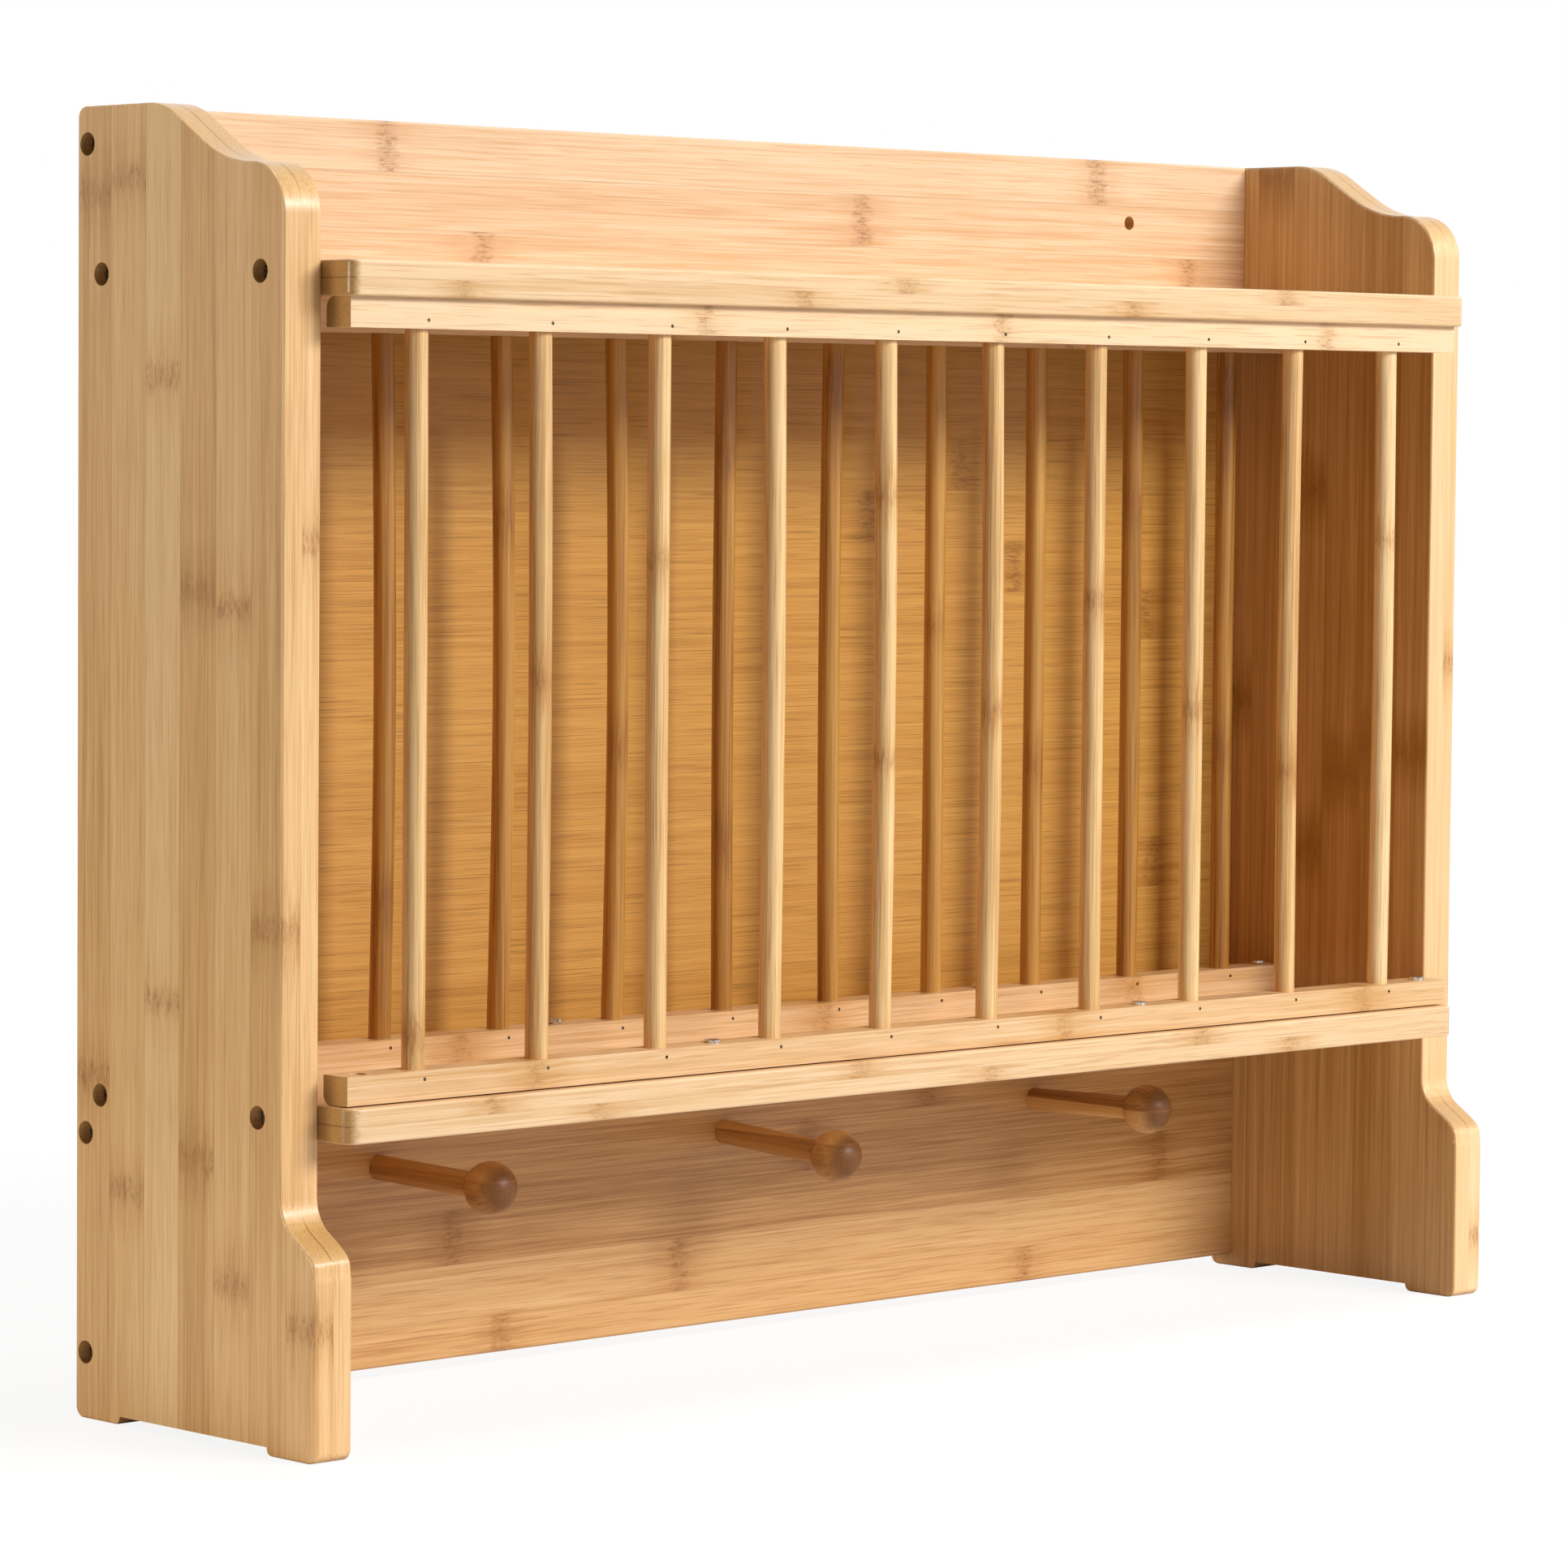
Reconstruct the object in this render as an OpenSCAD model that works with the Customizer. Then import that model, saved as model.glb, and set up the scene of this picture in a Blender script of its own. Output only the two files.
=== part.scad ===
// Wall plate rack in laminated bamboo: two shaped sides, two shelves, back boards with a thin
// panel between them, two rows of upright dowels that hold plates, and three cup pegs below.
// The rack stands on its side panels' feet or hangs from two holes in the upper back board.
// Millimetres. +Z is up, the front faces -Y, the back faces +Y.
// Origin: centre of the footprint, level with the bottom of the feet.

/* [Overall] */
// overall width across the two side panels
rack_w = 598; // [520:1:700]
// overall height from the feet to the top of the side panels
rack_h = 450; // [420:1:480]
// softening radius on every outside edge of the side panels
edge_r = 1; // [0.6:0.1:3]

/* [Side panels] */
// thickness of a side panel
side_t = 16; // [14.5:0.5:20]
// depth of a side panel above the foot
side_d = 112; // [104:1:125]
// how far the shoulder sits below the top edge
shoulder_drop = 21; // [16:0.5:24]
// radius of the rounded shoulder at the top front corner
shoulder_r = 17.5; // [12:0.5:20]
// radius of the convex part of the upper curve
crest_r = 30; // [28:1:32]
// radius of the hollow part of the upper curve
hollow_r = 48; // [40:1:50]
// steepest slope of the upper curve, in degrees
crest_slope = 32; // [30:1:36]
// how far the foot steps forward of the side panel
foot_reach = 18; // [14:0.5:22]
// height at which the front edge starts to curve out to the foot
foot_curve_z = 86.5; // [80:0.5:96]
// radius of the hollow part of the foot curve
foot_hollow_r = 14; // [10:0.5:16]
// radius of the convex part of the foot curve
foot_crest_r = 11; // [8:0.5:12]
// turn of the foot curve away from vertical, in degrees
foot_turn = 49; // [45:1:55]
// rounding of the side panels' bottom corners and top back corner, above edge_r
corner_r = 3.8; // [3.4:0.2:6]
// length of each foot along the bottom edge
foot_len = 25; // [20:1:35]
// height of the shallow cut between the two feet
foot_cut = 3; // [2:0.5:5]

/* [Shelves] */
// thickness of both shelves
shelf_t = 12; // [10:0.5:15]
// depth of both shelves from the back of the rack
shelf_d = 128.5; // [122:0.5:135]
// distance of the top shelf's underside below the top of the rack
top_shelf_drop = 65.2; // [55:0.2:75]
// height of the underside of the bottom shelf
bottom_shelf_z = 104.6; // [96:0.2:110]
// rounding of the front corners, seen from above, of the top and the bottom shelf
shelf_corner_r = [4, 5.5];
// easing of the shelves' front and end edges
shelf_ease = 1; // [0.5:0.1:2]

/* [Back] */
// thickness of the upper and lower back boards
board_t = 11.5; // [9:0.5:12]
// height of the lower board's bottom edge
lower_board_z = 5; // [3:0.5:10]
// thickness of the thin panel between the shelves
panel_t = 4; // [3:0.5:5]
// how far the thin panel's face sits behind the back boards' faces
panel_recess = 3; // [2:0.5:4]
// depth of the groove that holds the thin panel
groove_depth = 5; // [3:0.5:6]
// easing of the back boards' long edges
board_ease = 0.8; // [0.4:0.1:1.5]

/* [Wall holes] */
// distance between the two wall holes
wall_hole_gap = 428; // [320:1:460]
// diameter of a wall hole
wall_hole_d = 5.5; // [4:0.5:7]
// distance of the wall holes below the top of the rack
wall_hole_drop = 24.5; // [15:0.5:30]

/* [Dowel rows] */
// diameter of a dowel
dowel_d = 8; // [7:0.5:9]
// distance from a side panel's inner face to the middle of the nearest dowel
dowel_end_space = 35.5; // [25:0.5:45]
// depth of a rail from front to back
rail_d = 12.5; // [11:0.5:14]
// height of a rail
rail_h = 10.3; // [9:0.1:12]
// rounding of the edge of a rail that faces the back and the shelf
rail_round = 4; // [2:0.5:5]
// clear space between each end of a rail and the side panel
rail_end_gap = 2; // [0.5:0.5:3]
// setback of the front rails from the shelf's front edge
front_rail_setback = 4; // [3:0.5:6]
// distance of the rear rails' front faces from the back of the rack
rear_rail_y = 41; // [35:0.5:45]
// depth of the sockets that hold the dowels' ends
socket_depth = 8; // [6:0.5:8.5]

/* [Cup pegs] */
// diameter of a peg's shaft
peg_d = 9; // [7:0.5:10]
// diameter of the ball on a peg's end
ball_d = 19; // [16:0.2:22]
// distance from the lower board's face to the ball's centre
peg_reach = 61; // [50:1:66]
// height of the pegs
peg_z = 77.4; // [65:0.1:80]
// spacing of the pegs
peg_pitch = 169; // [140:1:180]
// sideways offset of the peg row from the centre
peg_shift = -4; // [-8:1:8]
// upward lean of the left, middle and right peg, in degrees
peg_lean = [-1.3, -3.2, 1.5];
// depth of a peg's socket in the lower board
peg_socket = 8; // [6:0.5:8]

/* [Fasteners] */
// diameter of the counterbores in the side panels
side_bore_d = 8; // [7:0.5:9]
// depth of the counterbores in the side panels
side_bore_depth = 7; // [5:0.1:7.5]
// diameter of a side screw's head
side_head_d = 7.2; // [6:0.1:7.6]
// diameter of a side screw's shank
side_shank_d = 3.8; // [3:0.1:4.5]
// length of a side screw under its head
side_screw_len = 34; // [28:1:40]
// distance of the shelf screws from the rack's back, rear and front
shelf_screw_y = [13.6, 99.5];
// height of the shelf screws above the middle of a shelf
shelf_screw_rise = 2; // [0:0.5:2]
// distance of the back board screws from the rack's back
board_screw_y = 5.6; // [5:0.1:6.5]
// heights of the lower board's screws
lower_screw_z = [23, 99];
// distance of the upper board's screw below the top of the rack
upper_screw_drop = 13; // [10:0.5:20]
// diameter of a rail screw's head
rail_head_d = 6; // [5:0.1:7]
// diameter of a rail screw's shank
rail_shank_d = 3.2; // [2.8:0.1:3.5]
// length of a rail screw under its head
rail_screw_len = 16; // [14:1:17]
// distance of the outer rail screws from the ends of a rail
rail_screw_in = 9.5; // [7:0.5:12]
// diameter of the brads that pin the dowels
brad_d = 1.2; // [1:0.1:1.5]
// length of a brad
brad_len = 7; // [6:0.5:8]
// how far a brad's head is set below the rail's face
brad_set = 0.3; // [0.1:0.1:0.5]
// distance of the brads from the rail edge that the dowels enter
brad_in = 2.9; // [2:0.1:4]

/* [Clearances] */
// clearance round the dowels, pegs, screws and brads in their holes
fit_gap = 0.05; // [0.02:0.01:0.1]
// clearance of the thin panel in its groove, on each face
groove_gap = 0.1; // [0.05:0.05:0.3]

/* [Hidden] */
// number of dowels in each row, each a piece of its own in NODES
dowel_count = 10;
foot_d = side_d + foot_reach;
back_y = foot_d / 2;
inner_x = rack_w / 2 - side_t;
shoulder_z = rack_h - shoulder_drop;
top_shelf_z = rack_h - top_shelf_drop;
top_shelf_top = top_shelf_z + shelf_t;
bottom_shelf_top = bottom_shelf_z + shelf_t;
panel_back_y = board_t - panel_recess - panel_t;
rail_len = 2 * (inner_x - rail_end_gap);
front_rail_y = shelf_d - front_rail_setback;
bay_low_z = bottom_shelf_top + rail_h;
bay_high_z = top_shelf_z - rail_h;
wall_hole_z = rack_h - wall_hole_drop;
dowel_pitch = 2 * (inner_x - dowel_end_space) / (dowel_count - 1);
row_x0 = dowel_end_space - inner_x;
// each side of the centre, the inner rail screws lie midway between two dowels
rail_screw_x = [2 * dowel_pitch, rail_len / 2 - rail_screw_in];
// space left at the closed end of a socket
socket_rest = 0.2;
// overshoot of a cut past the face it opens
cut = 1;
// height of a screw head's flat rim and of its cone
head_rim = 0.8;
head_cone = 1.6;
// cross recess in a screw head
cross_w = 1;
cross_deep = 1.4;
cross_share = 0.62;
// length of a screw's point, and its blunt end as a share of the shank
tip_len = 4;
tip_share = 0.2;
// how far the screws stand above a front and a rear bottom rail, how deep the front left one sits,
// and how deep the top rails' screws sit
rail_screw_proud = [1, 1.6];
rail_screw_sunk = 1.4;
top_screw_sunk = 0.2;
// segments of round cutters, and of the discs that round a shelf's front corners
round_fn = 48;
corner_fn = 48;
// steps of a shelf's eased edge
shelf_steps = 3;
// depth of the slice at a shelf's back edge that its rear outline is drawn from
back_slice = 1;
// steps of the side outline's corners and curves, and of its edge rounding
corner_steps = 5;
curve_steps = 8;
ease_steps = 3;

crest_rise = (crest_r + hollow_r) * (1 - cos(crest_slope));
crest_line = (shoulder_drop - crest_rise) / sin(crest_slope);
crest_run = (crest_r + hollow_r) * sin(crest_slope) + crest_line * cos(crest_slope);
top_flat = side_d - shoulder_r - crest_run;
foot_side = (foot_hollow_r + foot_crest_r) * (1 - cos(foot_turn));
foot_line = (foot_reach - foot_side) / sin(foot_turn);

bamboo = "#F0CB93";
bamboo_dark = "#C99656";
panel_gold = "#C08A45";
steel = "#8A8A88";
steel_dark = "#4A4742";

// ---- placing ----

// the pieces below are drawn with the rack's back face at y = 0 and its front towards -y
module in_rack() {
  translate([0, back_y, 0]) children();
}

// an outline drawn as (distance from the back, height), thickened towards -x from x
module upright(x, t) {
  translate([x, 0, 0]) rotate([90, 0, -90]) linear_extrude(t) children();
}

// ---- side panels ----

// Outline stations are [point, outward direction], so an inner layer is point - inset * direction.
// Convex arc about a centre in n steps, from one angle to another
function bulge(c, r, a0, a1, n) =
  [for (i = [0:n]) let (a = a0 + (a1 - a0) * i / n, d = [cos(a), sin(a)]) [c + r * d, d]];

// hollow arc: the material lies outside the circle
function hollow(c, r, a0, a1, n) =
  [for (p = bulge(c, r, a0, a1, n)) [p[0], -p[1]]];

// front outline from the bottom corner up: corner, crest of the foot, hollow, shoulder, hollow, crest
function front_stations() =
  let (square_on = [cos(foot_turn), sin(foot_turn)])
  let (foot_hollow = [side_d + foot_hollow_r, foot_curve_z])
  let (slope_top = foot_hollow - foot_hollow_r * square_on)
  let (slope_end = slope_top + foot_line * [sin(foot_turn), -cos(foot_turn)])
  let (shoulder_y = side_d - shoulder_r, last_turn = 90 / (2 * curve_steps))
  concat(
    bulge([foot_d - corner_r, corner_r], corner_r, 270, 360, corner_steps),
    bulge(slope_end - foot_crest_r * square_on, foot_crest_r, 0, foot_turn, curve_steps),
    hollow(foot_hollow, foot_hollow_r, 180 + foot_turn, 180, curve_steps),
    bulge([shoulder_y, shoulder_z - shoulder_r], shoulder_r, 0, 90 - last_turn, 2 * curve_steps - 1),
    hollow([shoulder_y, shoulder_z + hollow_r], hollow_r, 270, 270 - crest_slope, curve_steps),
    bulge([top_flat, rack_h - crest_r], crest_r, 90 - crest_slope, 90, curve_steps)
  );

// back outline: between its two corners it follows the front stations' heights, drawn in a little
// so that the last one stays below the top corner
function back_stations(front) =
  let (n = len(front), level = (rack_h - 2 * corner_r) / (rack_h - corner_r))
  concat(
    bulge([corner_r, corner_r], corner_r, 270, 180, corner_steps),
    [
      for (k = [corner_steps + 1:n - corner_steps - 2])
        [[0, corner_r + (front[k][0][1] - corner_r) * level], [-1, 0]]
    ],
    bulge([corner_r, rack_h - corner_r], corner_r, 180, 90, corner_steps)
  );

// side panel drawn as (distance from the back, height) and thickened towards -x from x;
// its layers step in towards both faces along a quarter circle, which softens every outside edge
module side_blank(x) {
  front = front_stations();
  back = back_stations(front);
  m = len(front);
  stations = concat(front, [for (k = [m - 1:-1:0]) back[k]]);
  n = 2 * m;
  quarter = [
    for (k = [0:ease_steps])
      let (a = 90 * k / ease_steps) edge_r * [1 - sin(a), 1 - cos(a)]
  ];
  layers = concat(
    quarter,
    [for (k = [ease_steps:-1:0]) [quarter[k][0], side_t - quarter[k][1]]]
  );
  top = (len(layers) - 1) * n;
  points = [
    for (l = layers, p = stations)
      let (q = p[0] - l[0] * p[1]) [q[0], q[1], l[1]]
  ];
  walls = [
    for (j = [0:len(layers) - 2], i = [0:n - 1], h = [0, 1])
      let (a = j * n + i, b = j * n + (i + 1) % n)
      h == 0 ? [a, a + n, b + n] : [a, b + n, b]
  ];
  faces = [
    for (k = [0:m - 2], h = [0, 1])
      let (a = k, b = k + 1, c = n - 2 - k, d = n - 1 - k)
      h == 0 ? [a, b, c] : [a, c, d]
  ];
  far_faces = [for (f = faces) [top + f[0], top + f[2], top + f[1]]];
  translate([x, 0, 0]) rotate([90, 0, -90])
    polyhedron(points, concat(walls, faces, far_faces));
}

// cut beside a foot that leaves the foot's corner rounded
module foot_corner_cut() {
  difference() {
    translate([-foot_cut, -cut]) square([foot_cut + cut, foot_cut + cut]);
    translate([-foot_cut, foot_cut]) circle(foot_cut, $fn = round_fn);
  }
}

// shallow cut that leaves a foot at the back and one at the front
module feet_cut(x) {
  upright(x + cut, side_t + 2 * cut) {
    translate([foot_len, -cut]) square([foot_d - 2 * foot_len, foot_cut + cut]);
    translate([foot_len, 0]) foot_corner_cut();
    translate([foot_d - foot_len, 0]) mirror([1, 0]) foot_corner_cut();
  }
}

// places of the screws through a side panel, as [distance from the back, height]
side_screw_places = concat(
  [for (y = shelf_screw_y) [y, top_shelf_z + shelf_t / 2 + shelf_screw_rise]],
  [for (y = shelf_screw_y) [y, bottom_shelf_z + shelf_t / 2 + shelf_screw_rise]],
  [for (z = lower_screw_z) [board_screw_y, z]],
  [[board_screw_y, rack_h - upper_screw_drop]]
);

// a screw lying along x with its head at the outside: s is -1 on the left, 1 on the right
module at_side_screws(s) {
  for (p = side_screw_places)
    translate([s * rack_w / 2, -p[0], p[1]])
      rotate([0, -90 * s, 0])
        children();
}

module side_screw_holes(s) {
  at_side_screws(s) {
    translate([0, 0, -cut]) cylinder(d = side_bore_d, h = side_bore_depth + cut, $fn = round_fn);
    cylinder(d = side_shank_d + 2 * fit_gap, h = side_bore_depth + side_screw_len + cut,
      $fn = round_fn);
  }
}

module panel_groove() {
  low_z = bottom_shelf_top - groove_depth;
  translate([-inner_x - groove_depth, -panel_back_y - panel_t - groove_gap, low_z])
    cube([
      2 * (inner_x + groove_depth),
      panel_t + 2 * groove_gap,
      top_shelf_z + groove_depth - low_z
    ]);
}

module left_side() {
  color(bamboo) in_rack() difference() {
    side_blank(-inner_x);
    feet_cut(-inner_x);
    side_screw_holes(-1);
    panel_groove();
  }
}

module right_side() {
  color(bamboo) in_rack() difference() {
    side_blank(rack_w / 2);
    feet_cut(rack_w / 2);
    side_screw_holes(1);
    panel_groove();
  }
}

// ---- shelves ----

// half section of a board of thickness shelf_t and half width w, with its outer edges eased
function eased_half(w) = concat(
  [[0, 0]],
  [for (k = [0:shelf_steps]) let (a = -90 + 90 * k / shelf_steps)
    [w - shelf_ease + shelf_ease * cos(a), shelf_ease + shelf_ease * sin(a)]],
  [for (k = [0:shelf_steps]) let (a = 90 * k / shelf_steps)
    [w - shelf_ease + shelf_ease * cos(a), shelf_t - shelf_ease + shelf_ease * sin(a)]],
  [[0, shelf_t]]
);

// flat board with rounded front corners and eased front and end edges
module shelf_blank(z, r) {
  translate([0, 0, z]) hull() {
    for (s = [-1, 1]) translate([s * (inner_x - r), r - shelf_d, 0])
      rotate_extrude($fn = corner_fn) polygon(eased_half(r));
    for (m = [0, 1]) mirror([m, 0, 0])
      rotate([90, 0, 0]) linear_extrude(back_slice) polygon(eased_half(inner_x));
  }
}

module top_shelf() {
  color(bamboo) in_rack() difference() {
    shelf_blank(top_shelf_z, shelf_corner_r[0]);
    side_screw_holes(-1);
    side_screw_holes(1);
    panel_groove();
    top_rail_screw_holes();
  }
}

module bottom_shelf() {
  color(bamboo) in_rack() difference() {
    shelf_blank(bottom_shelf_z, shelf_corner_r[1]);
    side_screw_holes(-1);
    side_screw_holes(1);
    panel_groove();
    bottom_rail_screw_holes();
  }
}

// ---- back ----

// board between the sides with its long front edges eased
module back_board(z, h) {
  upright(inner_x, 2 * inner_x) translate([0, z]) polygon([
    [0, 0],
    [board_t - board_ease, 0],
    [board_t, board_ease],
    [board_t, h - board_ease],
    [board_t - board_ease, h],
    [0, h]
  ]);
}

module wall_holes() {
  for (s = [-1, 1])
    translate([s * wall_hole_gap / 2, cut, wall_hole_z])
      rotate([90, 0, 0]) cylinder(d = wall_hole_d, h = board_t + 2 * cut, $fn = round_fn);
}

module upper_back_board() {
  color(bamboo) in_rack() difference() {
    back_board(top_shelf_top, rack_h - top_shelf_top);
    wall_holes();
    side_screw_holes(-1);
    side_screw_holes(1);
  }
}

module lower_back_board() {
  color(bamboo_dark) in_rack() difference() {
    back_board(lower_board_z, bottom_shelf_z - lower_board_z);
    side_screw_holes(-1);
    side_screw_holes(1);
    for (i = [0:2]) at_peg(i) translate([0, 0, -peg_socket])
      cylinder(d = peg_d + 2 * fit_gap, h = peg_socket + cut, $fn = round_fn);
  }
}

module back_panel() {
  reach = groove_depth - socket_rest;
  color(panel_gold) in_rack()
    translate([-inner_x - reach, -panel_back_y - panel_t, bottom_shelf_top - reach])
      cube([2 * (inner_x + reach), panel_t, top_shelf_z - bottom_shelf_top + 2 * reach]);
}

// ---- rails ----

// rail section, drawn from its front face; the edge that meets both the shelf and the back is round
module rail_section() {
  difference() {
    square([rail_d, rail_h]);
    square([rail_round, rail_round]);
  }
  translate([rail_round, rail_round]) circle(rail_round, $fn = round_fn);
}

// a rail whose front face is y from the back, standing on z, or hanging from z when up is -1
module rail_blank(y, z, up) {
  translate([0, 0, z]) scale([1, 1, up])
    upright(rail_len / 2, rail_len) translate([y - rail_d, 0]) rail_section();
}

module at_dowels(y) {
  for (i = [0:dowel_count - 1])
    translate([row_x0 + i * dowel_pitch, rail_d / 2 - y, 0])
      children();
}

module brad_line(y, z, d, deep) {
  for (i = [0:dowel_count - 1])
    translate([row_x0 + i * dowel_pitch, -y, z])
      rotate([-90, 0, 0]) cylinder(d = d, h = deep, $fn = round_fn);
}

module brad_holes(y) {
  for (z = [bay_low_z - brad_in, bay_high_z + brad_in])
    translate([0, -cut, 0]) brad_line(y, z, brad_d + 2 * fit_gap, brad_len + brad_set + cut);
}

module bottom_rail(y) {
  difference() {
    rail_blank(y, bottom_shelf_top, 1);
    at_dowels(y) translate([0, 0, bay_low_z - socket_depth])
      cylinder(d = dowel_d + 2 * fit_gap, h = socket_depth + cut, $fn = round_fn);
    brad_holes(y);
    bottom_rail_screw_holes();
  }
}

module top_rail(y) {
  difference() {
    rail_blank(y, top_shelf_z, -1);
    at_dowels(y) translate([0, 0, bay_high_z - cut])
      cylinder(d = dowel_d + 2 * fit_gap, h = socket_depth + cut, $fn = round_fn);
    brad_holes(y);
    top_rail_screw_holes();
  }
}

module front_top_rail() {
  color(bamboo) in_rack() top_rail(front_rail_y);
}

module front_bottom_rail() {
  color(bamboo) in_rack() bottom_rail(front_rail_y);
}

module rear_top_rail() {
  color(bamboo) in_rack() top_rail(rear_rail_y);
}

module rear_bottom_rail() {
  color(bamboo) in_rack() bottom_rail(rear_rail_y);
}

// ---- dowels ----

module dowel(i, y) {
  reach = socket_depth - socket_rest;
  color(bamboo) in_rack() difference() {
    translate([row_x0 + (i - 1) * dowel_pitch, rail_d / 2 - y, bay_low_z - reach])
      cylinder(d = dowel_d, h = bay_high_z - bay_low_z + 2 * reach, $fn = round_fn);
    brad_holes(y);
  }
}

// ---- pegs ----

// frame of peg i: +z runs out of the lower board along the peg
module at_peg(i) {
  translate([peg_shift + (i - 1) * peg_pitch, -board_t, peg_z])
    rotate([90 - peg_lean[i], 0, 0])
      children();
}

// turned peg: shaft and ball in one piece
module peg(i) {
  tail = peg_socket - socket_rest;
  color(bamboo_dark) in_rack() at_peg(i) union() {
    translate([0, 0, -tail]) cylinder(d = peg_d, h = tail + peg_reach, $fn = round_fn);
    translate([0, 0, peg_reach]) sphere(d = ball_d, $fn = round_fn);
  }
}

// ---- fasteners ----

// wood screw along +z: its head's top is at z = 0
module wood_screw(head_d, shank_d, len) {
  head_h = head_rim + head_cone;
  difference() {
    union() {
      cylinder(d = head_d, h = head_rim, $fn = round_fn);
      translate([0, 0, head_rim]) cylinder(d1 = head_d, d2 = shank_d, h = head_cone, $fn = round_fn);
      translate([0, 0, head_h - cross_deep])
        cylinder(d = shank_d, h = len + cross_deep - head_h - tip_len, $fn = round_fn);
      translate([0, 0, len - tip_len])
        cylinder(d1 = shank_d, d2 = shank_d * tip_share, h = tip_len, $fn = round_fn);
    }
    for (a = [0, 90])
      rotate([0, 0, a])
        translate([-head_d * cross_share / 2, -cross_w / 2, -cut])
          cube([head_d * cross_share, cross_w, cross_deep + cut]);
  }
}

module side_screws(s) {
  color(steel_dark) in_rack() at_side_screws(s)
    translate([0, 0, side_bore_depth - head_rim - head_cone])
      wood_screw(side_head_d, side_shank_d, side_screw_len);
}

// rail screws run along z through a rail into its shelf; only the front left one is set deep
module at_rail_screws(z, up) {
  for (row = [0, 1], x = rail_screw_x, s = [-1, 1]) {
    y = row == 0 ? front_rail_y : rear_rail_y;
    sunk_one = row == 0 && s * x == -max(rail_screw_x);
    deep = up < 0 ? top_screw_sunk : sunk_one ? rail_screw_sunk : -rail_screw_proud[row];
    translate([s * x, rail_d / 2 - y, z - up * deep])
      rotate([up > 0 ? 180 : 0, 0, 0])
        children();
  }
}

module rail_screw_cut() {
  proud = max(rail_screw_proud);
  translate([0, 0, -proud - cut])
    cylinder(d = rail_head_d + 2 * fit_gap, h = head_rim + proud + cut, $fn = round_fn);
  translate([0, 0, head_rim])
    cylinder(d1 = rail_head_d + 2 * fit_gap, d2 = rail_shank_d + 2 * fit_gap, h = head_cone,
      $fn = round_fn);
  cylinder(d = rail_shank_d + 2 * fit_gap, h = rail_screw_len + socket_rest, $fn = round_fn);
}

module bottom_rail_screw_holes() {
  at_rail_screws(bay_low_z, 1) rail_screw_cut();
}

module top_rail_screw_holes() {
  at_rail_screws(bay_high_z, -1) rail_screw_cut();
}

module bottom_rail_screws() {
  color(steel) in_rack() at_rail_screws(bay_low_z, 1)
    wood_screw(rail_head_d, rail_shank_d, rail_screw_len);
}

module top_rail_screws() {
  color(steel) in_rack() at_rail_screws(bay_high_z, -1)
    wood_screw(rail_head_d, rail_shank_d, rail_screw_len);
}

module rail_brads(y) {
  color(steel_dark) in_rack()
    for (z = [bay_low_z - brad_in, bay_high_z + brad_in])
      translate([0, brad_set, 0]) brad_line(y, z, brad_d, brad_len);
}

// ---- one piece at a time ----

left_side();
right_side();
top_shelf();
bottom_shelf();
upper_back_board();
lower_back_board();
back_panel();
front_top_rail();
front_bottom_rail();
rear_top_rail();
rear_bottom_rail();
dowel(1, front_rail_y);  // front_dowel_01
dowel(2, front_rail_y);  // front_dowel_02
dowel(3, front_rail_y);  // front_dowel_03
dowel(4, front_rail_y);  // front_dowel_04
dowel(5, front_rail_y);  // front_dowel_05
dowel(6, front_rail_y);  // front_dowel_06
dowel(7, front_rail_y);  // front_dowel_07
dowel(8, front_rail_y);  // front_dowel_08
dowel(9, front_rail_y);  // front_dowel_09
dowel(10, front_rail_y);  // front_dowel_10
dowel(1, rear_rail_y);  // rear_dowel_01
dowel(2, rear_rail_y);  // rear_dowel_02
dowel(3, rear_rail_y);  // rear_dowel_03
dowel(4, rear_rail_y);  // rear_dowel_04
dowel(5, rear_rail_y);  // rear_dowel_05
dowel(6, rear_rail_y);  // rear_dowel_06
dowel(7, rear_rail_y);  // rear_dowel_07
dowel(8, rear_rail_y);  // rear_dowel_08
dowel(9, rear_rail_y);  // rear_dowel_09
dowel(10, rear_rail_y);  // rear_dowel_10
peg(0);  // left_peg
peg(1);  // middle_peg
peg(2);  // right_peg
side_screws(-1);  // left_side_screws
side_screws(1);  // right_side_screws
bottom_rail_screws();
top_rail_screws();
rail_brads(front_rail_y);  // front_rail_brads
rail_brads(rear_rail_y);  // rear_rail_brads
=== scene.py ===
import bpy
import bmesh
import math
import random
from mathutils import Matrix, Vector


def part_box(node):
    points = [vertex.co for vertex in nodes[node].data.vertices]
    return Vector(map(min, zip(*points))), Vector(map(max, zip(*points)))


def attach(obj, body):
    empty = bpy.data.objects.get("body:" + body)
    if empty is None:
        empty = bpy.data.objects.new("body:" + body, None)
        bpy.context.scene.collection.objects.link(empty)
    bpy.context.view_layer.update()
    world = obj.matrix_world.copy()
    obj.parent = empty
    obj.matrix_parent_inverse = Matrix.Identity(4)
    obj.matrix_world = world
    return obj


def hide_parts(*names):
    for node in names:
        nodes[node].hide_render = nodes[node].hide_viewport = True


# Bamboo wall plate rack: the wooden CAD parts get finished copies in procedural bamboo, the dowels are
# made again with their small bends, and the screws and brads keep their CAD shapes in steel

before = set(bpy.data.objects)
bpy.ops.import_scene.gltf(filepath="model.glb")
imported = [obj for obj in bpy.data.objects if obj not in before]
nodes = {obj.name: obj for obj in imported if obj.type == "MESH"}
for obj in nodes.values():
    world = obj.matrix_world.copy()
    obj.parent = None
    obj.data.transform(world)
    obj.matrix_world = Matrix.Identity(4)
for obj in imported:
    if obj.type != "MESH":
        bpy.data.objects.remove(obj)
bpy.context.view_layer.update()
scene = bpy.context.scene
print("frame loaded:", len(nodes), "nodes")


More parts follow.
